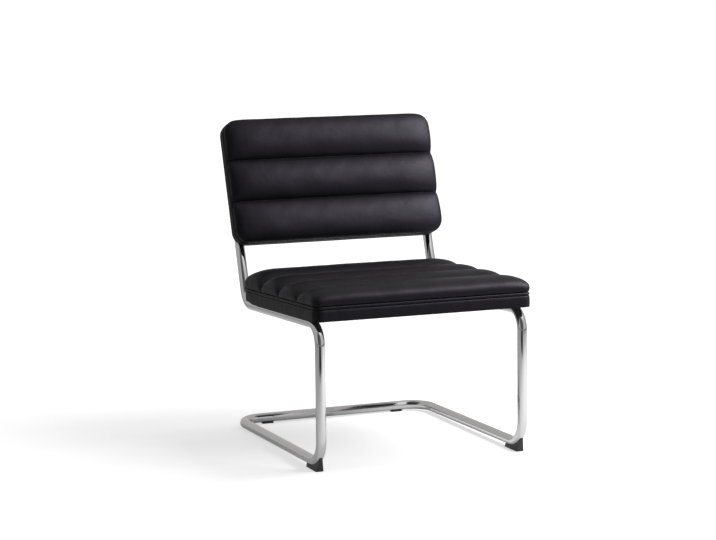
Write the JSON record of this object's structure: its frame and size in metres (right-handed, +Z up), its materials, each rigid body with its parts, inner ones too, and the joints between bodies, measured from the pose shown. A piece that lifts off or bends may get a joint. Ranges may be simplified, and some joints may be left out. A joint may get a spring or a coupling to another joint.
{
  "type": "cantilever lounge chair",
  "caption": "Armless cantilever chair: a bent chromed steel tube carries a black leather seat and back, both piped and sewn into broad cross rolls.",
  "frame": {"origin": "on the floor plane, at the middle of the whole chair's bounding box in X and Y", "axes": "+X to the right as seen from the front, +Y from the front edge of the seat to the back, +Z up"},
  "size_m": [0.588, 0.7074, 0.8218],
  "materials": {
    "frame_chrome": "polished chrome plate",
    "zinc_plated_steel": "bright zinc plate",
    "foot_plastic": "moulded, satin",
    "seat_leather": "smooth semi-gloss",
    "back_leather": "smooth semi-gloss",
    "plywood": "sanded birch plywood",
    "foam": "open-cell foam",
    "dust_cloth": "non-woven black cloth"
  },
  "bodies": {
    "root": {"left_frame_tube": "frame_chrome", "right_frame_tube": "frame_chrome", "rear_bar_sleeve": "zinc_plated_steel", "left_post_plug": "foot_plastic", "right_post_plug": "foot_plastic", "left_front_foot": "foot_plastic", "right_front_foot": "foot_plastic", "front_foot_screws": "zinc_plated_steel", "left_rear_glide": "foot_plastic", "right_rear_glide": "foot_plastic", "seat_board": "plywood", "seat_foam_slab": "foam", "seat_roll_foam": "foam", "seat_cover": "seat_leather", "seat_boxing": "seat_leather", "seat_welt": "seat_leather", "seat_dust_cover": "dust_cloth", "seat_tee_nuts": "zinc_plated_steel", "seat_screws": "zinc_plated_steel", "seat_saddle_washers": "foot_plastic", "seat_rail_plugs": "foot_plastic", "back_board": "plywood", "back_foam_slab": "foam", "back_roll_foam": "foam", "back_cover": "back_leather", "back_boxing": "back_leather", "back_front_welt": "back_leather", "back_rear_welt": "back_leather", "back_rear_panel": "back_leather", "back_tee_nuts": "zinc_plated_steel", "back_screws": "zinc_plated_steel", "back_saddle_washers": "foot_plastic"}
  },
  "joints": []
}
